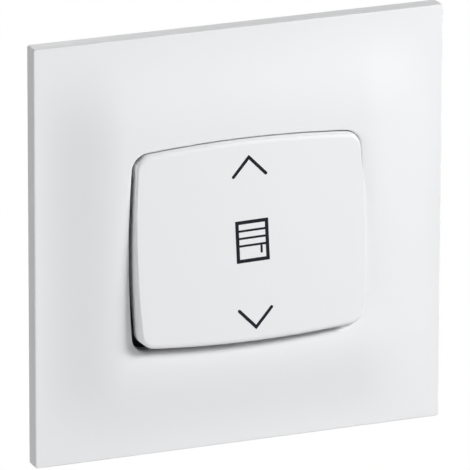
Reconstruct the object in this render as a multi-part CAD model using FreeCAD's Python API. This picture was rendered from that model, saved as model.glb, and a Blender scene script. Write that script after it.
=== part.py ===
import FreeCAD, Part
import math
import os

from FreeCAD import Vector

# Roller shutter switch for a flush wall box, in millimetres.
# X runs to the right, Y into the wall and Z up. The origin is the middle of
# the plate on the wall surface, so everything in front of the wall has Y < 0.

# Support frame, set out from the wall box's screws
SCREW_SPACING = 60.0
SCREW_SLOT_WIDTH = 4.2
SCREW_SLOT_LENGTH = 7.5
FRAME_RIM = 1.75            # from a slot to the frame's outer edge
FRAME_BAR = 3.75            # from a slot to the module's hole
FRAME_SIZE = SCREW_SPACING + SCREW_SLOT_LENGTH + 2 * FRAME_RIM
FRAME_THICKNESS = 1.8
FRAME_LEDGE = 0.8           # front part of the windows that the hooks grip
FRAME_CORNER_R = 4.0
MODULE_HOLE = SCREW_SPACING - SCREW_SLOT_LENGTH - 2 * FRAME_BAR
MODULE_CORNER_R = 4.5

# Cover plate, a square that covers the support frame
PLATE_SIDE_WALL = 1.8
PLATE_SIDE_ROOM = 3.7       # from the support frame to the side wall
PLATE_SIZE = FRAME_SIZE + 2 * (PLATE_SIDE_ROOM + PLATE_SIDE_WALL)
PLATE_EDGE_DEPTH = 3.3      # from the wall to the front of the outer edge
PLATE_RISE = 3.5            # from the outer edge up to the rim of the opening
PLATE_CORNER_R = 0.45
PLATE_EDGE_ROUND = 0.3
PLATE_EDGE_LAND = 0.5       # flat border at the foot of the rise
PLATE_RIM_LAND = 0.2        # flat border round the rounded rim of the opening
PLATE_ROOF = 1.8
OPENING_WIDTH = 47.0
OPENING_HEIGHT = 40.8
OPENING_SIDE_BOW = 0.81     # how far a side bulges past its own ends
OPENING_END_BOW = 1.1
OPENING_CORNER_R = 3.35
RIM_ROUND = 0.4
ROUND_STEPS = 3             # straight steps that stand for a rounded edge
COLLAR_WALL = 1.5
COLLAR_CLEARANCE = 0.3      # to the flange of the mechanism

# Hooks under the plate, and their windows in the support frame
HOOK_X = 16.0
HOOK_INSET = 5.5            # from the support frame's outer edge
HOOK_Z = FRAME_SIZE / 2 - HOOK_INSET
HOOK_WIDTH = 5.0
HOOK_LEG = 1.3
HOOK_NOSE = 0.6
HOOK_PLAY = 0.15
HOOK_FLEX = 0.8             # room for the leg to bend while it snaps in

# Rocker key
KEY_SIDE_GAP = 0.48         # mean gap at the left and right sides
KEY_OFF_CENTRE = 0.33       # to the right, within the clips' side play
KEY_END_GAP = 0.85
KEY_PROUD = 2.2             # face in front of the rim when it stands level
KEY_FACE = 1.8
KEY_SKIRT_WALL = 1.4
KEY_SKIRT_DEPTH = 4.6
KEY_EDGE_DEPTH = 1.0        # of the rounded edge, behind the face
KEY_SIDE_ROUND = 0.5        # how far that edge reaches in at the sides
KEY_END_ROUND = 1.25        # and at the ends
KEY_CLIP_X = 8.4
KEY_CLIP_Z = 7.6
KEY_CLIP_WIDTH = 4.0
KEY_CLIP_LEG = 1.2
KEY_CLIP_NOSE = 0.6
KEY_HOOK_PLAY = 0.05        # from the clips' noses to the cradle's plate

# Rocking motion: level in the middle, and one stop on each side
PIVOT_DEPTH = 1.0           # axis of the trunnions behind the wall surface
ROCKER_TILT = 4.3
CONTACT_RATIO = -1.5        # contact angle for each degree of the rocker

# Mechanism cover
MODULE_PLAY = 0.3           # round the module in the support frame
FLANGE_LIP = 1.0
FLANGE_THICKNESS = 0.8
MODULE_WALL = 2.0
WELL_CORNER_R = 3.2
COVER_FLOOR = 1.2
COVER_FLOOR_CLEARANCE = 0.4  # from the trunnions to the floor
TUBE_WINDOW_PLAY = 1.2
BEARING_THICKNESS = 2.4
BEARING_WALL = 1.6
BEARING_MOUTH = 2.6
BEARING_PLAY = 0.06
STOP_THICKNESS = 1.5
STOP_WIDTH = 10.0
STOP_PLAY = 0.1
CATCH_NOSE = 0.9
CATCH_WIDTH = 10.0
CATCH_DEPTH = 1.8
CATCH_PLAY = 0.05
SNAP_ARM_Z = 8.0
SNAP_ARM_THICKNESS = 1.1
SNAP_ARM_WIDTH = 6.0
SNAP_ARM_LENGTH = 6.3
SNAP_LUG_WIDTH = 3.2
SNAP_LUG_DEPTH = 1.8
SNAP_LUG_BACK = 1.3         # from the lug to the end of its arm
SNAP_PLAY = 0.1

# Cradle
CRADLE_HALF_WIDTH = 14.2
CRADLE_HALF_HEIGHT = 14.5
CRADLE_PLATE = 1.6
CRADLE_PLATE_LIFT = 0.8     # back of the plate in front of the axis
CHEEK_THICKNESS = 1.8
CHEEK_RADIUS = 1.8
TRUNNION_R = 1.6
TRUNNION_LENGTH = 2.7
TRUNNION_SIDE_PLAY = 0.2
TOWER_WALL = 1.2
TOWER_ROOM = 0.4            # between the key's clips and the tower
CLIP_PLAY = 0.15
CLIP_SIDE_PLAY = 0.4

# Plunger and detent spring
PLUNGER_R = 2.0
PLUNGER_PLAY = 0.06
PLUNGER_REACH = 11.6        # tip behind the axis of the trunnions
PLUNGER_LENGTH = 8.0
PLUNGER_NECK = 2.2          # from the shoulder to the tip
PLUNGER_NECK_R = 1.0
PLUNGER_NOSE_R = 1.3
PLUNGER_GAP = 0.12
TUBE_WALL = 1.0
TUBE_REACH = 8.0            # mouth of the tube behind the axis
BORE_FLOOR = 1.0            # plate left in front of the bore
SPRING_WIRE_R = 0.2
SPRING_WIRE_SIDES = 4       # flats that stand for the round wire
SPRING_TURNS = 4
SPRING_PLAY = 0.15

# Rocking contact and its rivets
CONTACT_WIDTH = 5.0
CONTACT_LENGTH = 20.0
CONTACT_THICKNESS = 0.8
CONTACT_CORNER_R = 1.25
EDGE_PLAY = 0.08
RIVET_REACH = 8.2
RIVET_HEAD_R = 1.6
RIVET_HEAD_HEIGHT = 0.6
RIVET_SHANK_R = 0.8
RIVET_SHANK_PLAY = 0.02
RIVET_TAIL_R = 1.2
RIVET_TAIL_HEIGHT = 0.25
CLOSED_GAP = 0.06

# Conductor strips
STRIP_WIDTH = 5.0
STRIP_THICKNESS = 0.8
STRIP_PLAY = 0.1
EDGE_POST_WIDTH = 2.4
GUIDE_THICKNESS = 0.7
GUIDE_PLAY = 0.2
TONGUE_PLAY = 0.2           # to each side wall of the cage
TONGUE_RISE = 4.6           # in front of the strip
TONGUE_DROP = 3.6           # behind the strip

# Mechanism base
BASE_WIDTH = MODULE_HOLE - 2 * (MODULE_PLAY + SNAP_ARM_THICKNESS + SNAP_PLAY)
BASE_CHAMFER = 5.0
BASE_WALL = 1.8
CHAMBER_CHAMFER = 4.1
BASE_FLOOR = 1.6
BASE_EDGE = 0.5
CHAMBER_BOTTOM = 11.0       # partition below the middle
PARTITION = 1.2
BLOCK_STEP = 6.9            # terminal block behind the rest of the base
BLOCK_FLOOR = 2.0

# Terminals
TERMINAL_PLAY = 0.1
TERMINAL_WALL = 1.8         # between two terminals
CAGE_WIDTH = 9.0
CAGE_HEIGHT = 7.8
TERMINAL_PITCH = CAGE_WIDTH + 2 * TERMINAL_PLAY + TERMINAL_WALL
CAGE_SHEET = 0.5
CAGE_FRONT = 5.0            # in front of the conductor strip
CAGE_BACK = 4.2             # behind the conductor strip
TONGUE_WIDTH = CAGE_WIDTH - 2 * (CAGE_SHEET + TONGUE_PLAY)
WIRE_HOLE = 2.8
WIRE_FUNNEL = 0.45
WIRE_PITCH = 4.0
CLAMP_SHEET = 0.35
CLAMP_PLAY = 0.5            # to each side wall of the cage
CLAMP_WIDTH = CAGE_WIDTH - 2 * (CAGE_SHEET + CLAMP_PLAY)
CLAMP_BEND_R = 0.55
CLAMP_TILT = 43.0
CLAMP_LEG = 6.6
CLAMP_ARM = 6.6
RELEASE_WIDTH = 5.2
RELEASE_HEIGHT = 1.6
RELEASE_PLAY = 0.2
RELEASE_PROUD = 0.9
RELEASE_SHOULDER = 0.8
RELEASE_WALL = 0.7          # between the wire holes and the release slot
RELEASE_NOTCH = 0.5

# Depths along Y that follow from the sizes above
EDGE_Y = -PLATE_EDGE_DEPTH
RIM_Y = EDGE_Y - PLATE_RISE
FACE_Y = RIM_Y - KEY_PROUD
FACE_BACK_Y = FACE_Y + KEY_FACE
FLANGE_Y = -FRAME_THICKNESS - FLANGE_THICKNESS
PIVOT_Y = PIVOT_DEPTH
PLATE_BACK_Y = PIVOT_Y - CRADLE_PLATE_LIFT
PLATE_FRONT_Y = PLATE_BACK_Y - CRADLE_PLATE
COVER_FLOOR_Y = PIVOT_Y + TRUNNION_R + COVER_FLOOR_CLEARANCE
BASE_FRONT_Y = COVER_FLOOR_Y + COVER_FLOOR
TIP_Y = PIVOT_Y + PLUNGER_REACH
CONTACT_Y = TIP_Y + PLUNGER_GAP
FULCRUM_Y = CONTACT_Y + CONTACT_THICKNESS + EDGE_PLAY


def turned(y, z, degrees):
    """Offset (y, z) from an axis along X, turned about it by the right-hand rule."""
    c, s = math.cos(math.radians(degrees)), math.sin(math.radians(degrees))
    return y * c - z * s, y * s + z * c


# A closed pair of domed rivets: the far one stands CLOSED_GAP off the turned one
CONTACT_TILT = -CONTACT_RATIO * ROCKER_TILT
DOME_R = (RIVET_HEAD_R**2 + RIVET_HEAD_HEIGHT**2) / (2 * RIVET_HEAD_HEIGHT)
DOME_OFFSET = RIVET_HEAD_HEIGHT - EDGE_PLAY - DOME_R
DOME_Y = FULCRUM_Y + turned(DOME_OFFSET, -RIVET_REACH, CONTACT_TILT)[0]
FIXED_TOP_Y = DOME_Y + DOME_R + CLOSED_GAP
STRIP_Y = FIXED_TOP_Y + RIVET_HEAD_HEIGHT
STRIP_BACK_Y = STRIP_Y + STRIP_THICKNESS
BASE_BACK_Y = STRIP_BACK_Y + BASE_FLOOR
BLOCK_BACK_Y = BASE_BACK_Y + BLOCK_STEP

# Distances below the middle, inside the terminal block
TERMINAL_TOP = CHAMBER_BOTTOM + PARTITION
TERMINAL_BOTTOM = TERMINAL_TOP + CAGE_HEIGHT + 2 * TERMINAL_PLAY
BASE_HEIGHT = 2 * (TERMINAL_BOTTOM + BASE_WALL)
WIRE_CENTRE = TERMINAL_TOP + TERMINAL_PLAY + STRIP_THICKNESS + WIRE_HOLE / 2
RELEASE_CENTRE = WIRE_CENTRE + WIRE_HOLE / 2 + RELEASE_WALL + RELEASE_PLAY + RELEASE_HEIGHT / 2
TERMINALS = {"common": -TERMINAL_PITCH, "up": 0.0, "down": TERMINAL_PITCH}


def block(x, y, z):
    """Box between two limits along each axis."""
    size = [high - low for low, high in (x, y, z)]
    return Part.makeBox(*size, Vector(x[0], y[0], z[0]))


def rod(radius, centre, y_from, y_to):
    """Cylinder along Y at (x, z)."""
    start = Vector(centre[0], y_from, centre[1])
    return Part.makeCylinder(radius, y_to - y_from, start, Vector(0, 1, 0))


def pin(radius, x_from, x_to, y, z):
    """Cylinder along X."""
    return Part.makeCylinder(radius, x_to - x_from, Vector(x_from, y, z), Vector(1, 0, 0))


def extrude(wire, depth):
    """Solid from a flat wire, grown along +Y."""
    return Part.Face(wire).extrude(Vector(0, depth, 0))


def polygon_x(points, x_from, x_to):
    """Prism along X over a polygon of (y, z) points."""
    wire = Part.makePolygon([Vector(x_from, y, z) for y, z in points + points[:1]])
    return Part.Face(wire).extrude(Vector(x_to - x_from, 0, 0))


def corner_arc(half_width, half_height, corner_r, side_bow, end_bow):
    """Ends and middle of the arc that rounds the top right corner, as (x, z).

    A bowed side is an arc centred on the X axis and a bowed end one centred on the Z axis.
    The corner arc touches both from inside, so its centre lies on the line from each of
    their centres to the tangent point.
    """
    if not side_bow:
        centre = (half_width - corner_r, half_height - corner_r)
        start, end = (half_width, centre[1]), (centre[0], half_height)
        outward = (1.0, 1.0)
    else:
        reach_x, reach_z = half_width - side_bow, half_height - end_bow
        side_r = (side_bow**2 + reach_z**2) / (2 * side_bow)
        end_r = (end_bow**2 + reach_x**2) / (2 * end_bow)
        side_c, end_c = half_width - side_r, half_height - end_r
        to_side, to_end = side_r - corner_r, end_r - corner_r
        apart = math.hypot(side_c, end_c)
        along = (to_side**2 - to_end**2 + apart**2) / (2 * apart)
        across = math.sqrt(to_side**2 - along**2)
        ux, uz = -side_c / apart, end_c / apart
        centre = (side_c + along * ux - across * uz, along * uz + across * ux)
        to_start = ((centre[0] - side_c) / to_side, centre[1] / to_side)
        to_finish = (centre[0] / to_end, (centre[1] - end_c) / to_end)
        start = (centre[0] + corner_r * to_start[0], centre[1] + corner_r * to_start[1])
        end = (centre[0] + corner_r * to_finish[0], centre[1] + corner_r * to_finish[1])
        outward = (to_start[0] + to_finish[0], to_start[1] + to_finish[1])
    length = math.hypot(*outward)
    middle = [c + corner_r * out / length for c, out in zip(centre, outward)]
    return start, middle, end


def outline(half_width, half_height, corner_r, y, side_bow=0.0, end_bow=0.0):
    """Closed wire at depth y: four straight or bowed sides joined by tangent corner arcs."""
    start, middle, end = corner_arc(half_width, half_height, corner_r, side_bow, end_bow)

    def at(point, sx=1, sz=1):
        return Vector(sx * point[0], y, sz * point[1])

    corners = [
        (at(start), at(middle), at(end)),
        (at(end, -1), at(middle, -1), at(start, -1)),
        (at(start, -1, -1), at(middle, -1, -1), at(end, -1, -1)),
        (at(end, 1, -1), at(middle, 1, -1), at(start, 1, -1)),
    ]
    peaks = [(0, half_height), (-half_width, 0), (0, -half_height), (half_width, 0)]
    edges = []
    for i, (first, via, last) in enumerate(corners):
        edges.append(Part.Arc(first, via, last).toShape())
        onward = corners[(i + 1) % 4][0]
        if side_bow:
            edges.append(Part.Arc(last, at(peaks[i]), onward).toShape())
        else:
            edges.append(Part.LineSegment(last, onward).toShape())
    return Part.Wire(edges)


def chamfered(half_width, half_height, chamfer, y):
    """Closed rectangle at depth y with its corners cut off."""
    inner_x, inner_z = half_width - chamfer, half_height - chamfer
    upper = [
        (half_width, inner_z), (inner_x, half_height), (-inner_x, half_height), (-half_width, inner_z),
    ]
    corners = upper + [(-x, -z) for x, z in upper]
    return Part.makePolygon([Vector(x, y, z) for x, z in corners + corners[:1]])


def opening_outline(y, offset=0.0):
    """Outline of the plate's opening, grown outwards by offset."""
    return outline(
        OPENING_WIDTH / 2 + offset,
        OPENING_HEIGHT / 2 + offset,
        OPENING_CORNER_R + offset,
        y,
        OPENING_SIDE_BOW,
        OPENING_END_BOW,
    )


def rounded_step(section, y, radius):
    """Solid from y back to y + radius whose edge is rounded, in a few straight steps.

    section(y, inset) gives its outline, and the inset falls to nothing along a quarter circle.
    """
    wires = []
    for i in range(ROUND_STEPS + 1):
        angle = math.radians(90 * i / ROUND_STEPS)
        wires.append(section(y + radius * (1 - math.cos(angle)), radius * (1 - math.sin(angle))))
    return Part.makeLoft(wires, True, True)


def edges_near(shape, y, tolerance=1e-3):
    """Edges that lie wholly at depth y."""
    def at_depth(box):
        return abs(box.YMin - y) < tolerance and abs(box.YMax - y) < tolerance

    return [e for e in shape.Edges if at_depth(e.BoundBox)]


def mirrored_pairs(shape, planes):
    """The shape and its mirror images, as one list."""
    shapes = [shape]
    for normal in planes:
        shapes += [s.mirror(Vector(0, 0, 0), normal) for s in shapes]
    return shapes


LEFT_RIGHT, UP_DOWN = Vector(1, 0, 0), Vector(0, 0, 1)


def rise_limits(half_opening):
    """Where the rise starts and ends on one side of the plate, along one axis."""
    return PLATE_SIZE / 2 - PLATE_EDGE_LAND, half_opening + RIM_ROUND + PLATE_RIM_LAND


def bezier_patch(low_x, high_x, low_z, high_z, heights_x, heights_z):
    """Patch of the plate's front over a rectangle; its height is the product of the two profiles.

    The heights are 0 at the level of the outer edge and 1 at the rim, for evenly spaced poles.
    """
    def places(low, high, count):
        return [low + (high - low) * i / (count - 1) for i in range(count)]

    patch = Part.BezierSurface()
    patch.increase(len(heights_x) - 1, len(heights_z) - 1)
    for i, x in enumerate(places(low_x, high_x, len(heights_x))):
        for j, z in enumerate(places(low_z, high_z, len(heights_z))):
            height = PLATE_RISE * heights_x[i] * heights_z[j]
            patch.setPole(i + 1, j + 1, Vector(x, EDGE_Y - height, z))
    return patch.toShape()


def swelling_solid():
    """Everything behind the rising part of the plate's front, down to the wall.

    The rise at a point is the full rise times its eased share across and its eased share
    along, so the contours turn the corners gently and no crease runs along the diagonals.
    An eased share is the cubic that starts and ends level.
    """
    foot_x, top_x = rise_limits(OPENING_WIDTH / 2)
    foot_z, top_z = rise_limits(OPENING_HEIGHT / 2)
    eased, level = (0, 0, 1, 1), (1, 1)
    column = Vector(0, PLATE_RISE + PLATE_EDGE_DEPTH, 0)
    corner = bezier_patch(-foot_x, -top_x, -foot_z, -top_z, eased, eased).extrude(column)
    side = bezier_patch(-foot_x, -top_x, -top_z, top_z, eased, level).extrude(column)
    end = bezier_patch(-top_x, top_x, -foot_z, -top_z, level, eased).extrude(column)
    middle = block((-top_x, top_x), (RIM_Y, PLATE_RISE), (-top_z, top_z))
    columns = mirrored_pairs(corner, [LEFT_RIGHT, UP_DOWN])
    columns += mirrored_pairs(side, [LEFT_RIGHT]) + mirrored_pairs(end, [UP_DOWN])
    in_front = block((-PLATE_SIZE, PLATE_SIZE), (2 * RIM_Y, 0), (-PLATE_SIZE, PLATE_SIZE))
    return middle.multiFuse(columns).common(in_front)


def cover_plate():
    """Hollow moulded plate: flat outer edge, swelling front, rimmed opening, collar and four hooks."""
    def plate_outline(y, inset=0.0):
        corner_r = PLATE_CORNER_R * (1 - inset / (2 * PLATE_EDGE_ROUND))
        return outline(PLATE_SIZE / 2 - inset, PLATE_SIZE / 2 - inset, corner_r, y)

    rounded_y = EDGE_Y + PLATE_EDGE_ROUND
    border = rounded_step(plate_outline, EDGE_Y, PLATE_EDGE_ROUND).fuse(
        extrude(plate_outline(rounded_y), -rounded_y)
    )
    foot = PLATE_SIZE / 2 - PLATE_EDGE_LAND
    border = border.cut(block((-foot, foot), (EDGE_Y, 0), (-foot, foot)))
    opening = rounded_step(opening_outline, RIM_Y, RIM_ROUND).fuse(
        extrude(opening_outline(RIM_Y + RIM_ROUND), -RIM_Y - RIM_ROUND)
    )
    outer = border.fuse(swelling_solid()).cut(opening)

    collar_end = FLANGE_Y - COLLAR_CLEARANCE
    collar = extrude(opening_outline(RIM_Y, COLLAR_WALL), collar_end - RIM_Y)
    shell = outer.cut(plate_hollow().cut(collar))

    hooks = mirrored_pairs(plate_hook(), [LEFT_RIGHT, UP_DOWN])
    return shell.multiFuse(hooks).removeSplitter()


def plate_hollow():
    """Space under the front: straight walls, and a roof in two slopes that stay behind the rise."""
    inner = PLATE_SIZE / 2 - PLATE_SIDE_WALL
    top_x = OPENING_WIDTH / 2 + COLLAR_WALL
    top_z = OPENING_HEIGHT / 2 + COLLAR_WALL

    def rectangle(share):
        """Depth and half sizes at a share of the way in, as deep as the front on the diagonal."""
        eased = share * share * (3 - 2 * share)
        y = EDGE_Y + PLATE_ROOF - PLATE_RISE * eased * eased
        return y, inner + (top_x - inner) * share, inner + (top_z - inner) * share

    def slope(share_from, share_to):
        (y, x, z), (y2, x2, z2) = rectangle(share_from), rectangle(share_to)
        return Part.makeWedge(-x, y, -z, -z2, -x2, x, y2, z, z2, x2)

    walls = block((-inner, inner), (EDGE_Y + PLATE_ROOF, 0), (-inner, inner))
    return walls.multiFuse([slope(0.5, 0), slope(1, 0.5)])


def plate_hook():
    """One leg under the plate, with a nose that grips behind the support frame's ledge."""
    foot_z, top_z = rise_limits(OPENING_HEIGHT / 2)
    share = (foot_z - HOOK_Z) / (foot_z - top_z)
    root_y = EDGE_Y - PLATE_RISE * share * share * (3 - 2 * share) + PLATE_ROOF / 2
    tip_y = -HOOK_PLAY
    ledge_y = -FRAME_THICKNESS + FRAME_LEDGE + HOOK_PLAY
    inner, outer = HOOK_Z - HOOK_LEG / 2, HOOK_Z + HOOK_LEG / 2
    points = [
        (root_y, inner), (tip_y, inner), (tip_y, outer), (ledge_y + HOOK_PLAY, outer + HOOK_NOSE),
        (ledge_y, outer + HOOK_NOSE), (ledge_y, outer), (root_y, outer),
    ]
    return polygon_x(points, HOOK_X - HOOK_WIDTH / 2, HOOK_X + HOOK_WIDTH / 2)


def support_frame():
    """Flat moulded frame with four screw slots, four stepped hook windows and the module's hole."""
    def rounded_square(size, corner_r):
        return extrude(outline(size / 2, size / 2, corner_r, -FRAME_THICKNESS), FRAME_THICKNESS)

    frame, hole = rounded_square(FRAME_SIZE, FRAME_CORNER_R), rounded_square(MODULE_HOLE, MODULE_CORNER_R)
    slot_end = (SCREW_SLOT_LENGTH - SCREW_SLOT_WIDTH) / 2
    r = SCREW_SLOT_WIDTH / 2
    slots = []
    for x, z in ((SCREW_SPACING / 2, 0), (0, SCREW_SPACING / 2)):
        along_x, along_z = (slot_end, r) if x else (r, slot_end)
        slots.append(block((x - along_x, x + along_x), (-FRAME_THICKNESS, 0), (z - along_z, z + along_z)))
        for side in (-1, 1):
            centre = (x + side * slot_end, z) if x else (x, z + side * slot_end)
            slots.append(rod(r, centre, -FRAME_THICKNESS, 0))
    slots += [s.rotate(Vector(0, 0, 0), Vector(0, 1, 0), 180) for s in [s.copy() for s in slots]]

    half = HOOK_WIDTH / 2 + HOOK_PLAY
    inner = HOOK_Z - HOOK_LEG / 2 - HOOK_FLEX
    leg_side = HOOK_Z + HOOK_LEG / 2 + HOOK_PLAY
    window = block((HOOK_X - half, HOOK_X + half), (-FRAME_THICKNESS, 0), (inner, leg_side))
    behind_ledge = (-FRAME_THICKNESS + FRAME_LEDGE, 0)
    recess = block((HOOK_X - half, HOOK_X + half), behind_ledge, (inner, leg_side + HOOK_NOSE))
    windows = mirrored_pairs(window.fuse(recess), [LEFT_RIGHT, UP_DOWN])
    return frame.cut(hole).cut(Part.makeCompound(slots)).cut(Part.makeCompound(windows)).removeSplitter()


def rocker_key():
    """Moulded cap with the opening's outline: flat rounded face, skirt and four clip legs."""
    def key_outline(y, inset_x=0.0, inset_z=0.0):
        return outline(
            OPENING_WIDTH / 2 - KEY_SIDE_GAP - inset_x,
            OPENING_HEIGHT / 2 - KEY_END_GAP - inset_z,
            OPENING_CORNER_R - KEY_SIDE_GAP - (inset_x + inset_z) / 2,
            y,
            OPENING_SIDE_BOW,
            OPENING_END_BOW,
        )

    def edge_outline(y, inset):
        share = inset / KEY_EDGE_DEPTH
        return key_outline(y, share * KEY_SIDE_ROUND, share * KEY_END_ROUND)

    cap = rounded_step(edge_outline, FACE_Y, KEY_EDGE_DEPTH).fuse(
        extrude(key_outline(FACE_Y + KEY_EDGE_DEPTH), KEY_SKIRT_DEPTH - KEY_EDGE_DEPTH)
    )
    cap = cap.cut(extrude(key_outline(FACE_BACK_Y, KEY_SKIRT_WALL, KEY_SKIRT_WALL), KEY_SKIRT_DEPTH))

    inner, outer = KEY_CLIP_Z - KEY_CLIP_LEG / 2, KEY_CLIP_Z + KEY_CLIP_LEG / 2
    root_y = FACE_BACK_Y - KEY_FACE / 2
    hook_y = PLATE_BACK_Y + KEY_HOOK_PLAY
    tip_y = hook_y + KEY_CLIP_NOSE
    points = [
        (root_y, inner), (tip_y, inner), (tip_y, outer),
        (hook_y, outer + KEY_CLIP_NOSE), (hook_y, outer), (root_y, outer),
    ]
    clip = polygon_x(points, KEY_CLIP_X - KEY_CLIP_WIDTH / 2, KEY_CLIP_X + KEY_CLIP_WIDTH / 2)
    key = cap.multiFuse(mirrored_pairs(clip, [LEFT_RIGHT, UP_DOWN])).removeSplitter()
    key.translate(Vector(KEY_OFF_CENTRE, 0, 0))
    return key


def cradle():
    """See-saw under the key: plate, square tower, two cheeks with trunnions and the plunger's tube."""
    cheek_in = CRADLE_HALF_WIDTH - CHEEK_THICKNESS
    body = block(
        (-CRADLE_HALF_WIDTH, CRADLE_HALF_WIDTH),
        (PLATE_FRONT_Y, PLATE_BACK_Y),
        (-CRADLE_HALF_HEIGHT, CRADLE_HALF_HEIGHT),
    )
    inner_x = KEY_CLIP_X + KEY_CLIP_WIDTH / 2 + TOWER_ROOM
    inner_z = KEY_CLIP_Z + KEY_CLIP_LEG / 2 + KEY_CLIP_NOSE + TOWER_ROOM
    outer_x, outer_z = inner_x + TOWER_WALL, inner_z + TOWER_WALL
    tower = block((-outer_x, outer_x), (FACE_BACK_Y, PLATE_FRONT_Y), (-outer_z, outer_z))
    tower = tower.cut(block((-inner_x, inner_x), (FACE_BACK_Y, PLATE_FRONT_Y), (-inner_z, inner_z)))
    tube_r = PLUNGER_R + PLUNGER_PLAY + TUBE_WALL
    pieces = [tower, rod(tube_r, (0, 0), PLATE_FRONT_Y, PIVOT_Y + TUBE_REACH)]
    for side in (-1, 1):
        x_in, x_out = sorted((side * cheek_in, side * CRADLE_HALF_WIDTH))
        pieces.append(pin(CHEEK_RADIUS, x_in, x_out, PIVOT_Y, 0))
        pieces.append(block((x_in, x_out), (PLATE_FRONT_Y, PIVOT_Y), (-CHEEK_RADIUS, CHEEK_RADIUS)))
        ends = sorted((side * CRADLE_HALF_WIDTH, side * (CRADLE_HALF_WIDTH + TRUNNION_LENGTH)))
        pieces.append(pin(TRUNNION_R, ends[0], ends[1], PIVOT_Y, 0))
    body = body.multiFuse(pieces)

    bore = rod(PLUNGER_R + PLUNGER_PLAY, (0, 0), PLATE_FRONT_Y + BORE_FLOOR, PIVOT_Y + TUBE_REACH)
    window_half = KEY_CLIP_WIDTH / 2 + CLIP_SIDE_PLAY
    window = block(
        (KEY_CLIP_X - window_half, KEY_CLIP_X + window_half),
        (PLATE_FRONT_Y, PLATE_BACK_Y),
        (KEY_CLIP_Z - KEY_CLIP_LEG / 2 - KEY_CLIP_NOSE, KEY_CLIP_Z + KEY_CLIP_LEG / 2 + CLIP_PLAY),
    )
    cuts = [bore] + mirrored_pairs(window, [LEFT_RIGHT, UP_DOWN])
    return body.cut(Part.makeCompound(cuts)).removeSplitter()


def detent_spring():
    """Coil spring between the bottom of the bore and the plunger."""
    low = PLATE_FRONT_Y + BORE_FLOOR + SPRING_WIRE_R
    high = TIP_Y - PLUNGER_LENGTH - SPRING_WIRE_R
    coil_r = PLUNGER_R + PLUNGER_PLAY - SPRING_PLAY - SPRING_WIRE_R
    helix = Part.makeHelix((high - low) / SPRING_TURNS, high - low, coil_r)
    corners = []
    for i in range(SPRING_WIRE_SIDES + 1):
        angle = math.radians(360 * i / SPRING_WIRE_SIDES)
        along, across = SPRING_WIRE_R * math.sin(angle), SPRING_WIRE_R * math.cos(angle)
        corners.append(Vector(coil_r + across, 0, along))
    coil = Part.Wire(helix).makePipeShell([Part.makePolygon(corners)], True, True)
    coil.rotate(Vector(0, 0, 0), Vector(1, 0, 0), -90)
    coil.translate(Vector(0, low, 0))
    return coil


def plunger():
    """Sliding pin with a thinner neck that ends in a spherical nose."""
    nose_y = TIP_Y - PLUNGER_NOSE_R
    body = rod(PLUNGER_R, (0, 0), TIP_Y - PLUNGER_LENGTH, TIP_Y - PLUNGER_NECK)
    neck = rod(PLUNGER_NECK_R, (0, 0), TIP_Y - PLUNGER_NECK, nose_y)
    ball = Part.makeSphere(PLUNGER_NOSE_R, Vector(0, nose_y, 0))
    nose = ball.common(rod(PLUNGER_NECK_R, (0, 0), nose_y, TIP_Y))
    return body.multiFuse([neck, nose]).removeSplitter()


def domed_rivet(z, head_y, seat_y, tail_y, tail_out):
    """Rivet with its dome at head_y, its seat at seat_y and its other end at tail_y."""
    away = 1 if head_y > seat_y else -1
    dome = Part.makeSphere(DOME_R, Vector(0, head_y - away * DOME_R, z))
    head = dome.common(rod(RIVET_HEAD_R, (0, z), min(head_y, seat_y), max(head_y, seat_y)))
    rivet = head.fuse(rod(RIVET_SHANK_R, (0, z), min(seat_y, tail_y), max(seat_y, tail_y)))
    if tail_out:
        rivet = rivet.fuse(rod(RIVET_TAIL_R, (0, z), tail_y - RIVET_TAIL_HEIGHT, tail_y))
    return rivet.removeSplitter()


def rocking_contact():
    """Flat brass see-saw with a hole for a rivet near each end."""
    half_x, half_z = CONTACT_WIDTH / 2, CONTACT_LENGTH / 2
    back_y = CONTACT_Y + CONTACT_THICKNESS
    strip = extrude(outline(half_x, half_z, CONTACT_CORNER_R, CONTACT_Y), CONTACT_THICKNESS)
    hole_r = RIVET_SHANK_R + RIVET_SHANK_PLAY
    holes = [rod(hole_r, (0, z), CONTACT_Y, back_y) for z in (-RIVET_REACH, RIVET_REACH)]
    return strip.cut(Part.makeCompound(holes))


def strip_path(legs):
    """Flat conductor lying on the base's floor, one box for each (x range, z range)."""
    boxes = [block(x, (STRIP_Y, STRIP_BACK_Y), z) for x, z in legs]
    return boxes[0].multiFuse(boxes[1:]) if len(boxes) > 1 else boxes[0]


def tongue(x):
    """End of a conductor, bent square to it, that the wires are clamped against."""
    top = -(TERMINAL_TOP + TERMINAL_PLAY)
    return block(
        (x - TONGUE_WIDTH / 2, x + TONGUE_WIDTH / 2),
        (STRIP_Y - TONGUE_RISE, STRIP_BACK_Y + TONGUE_DROP),
        (top - STRIP_THICKNESS, top),
    )


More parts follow.
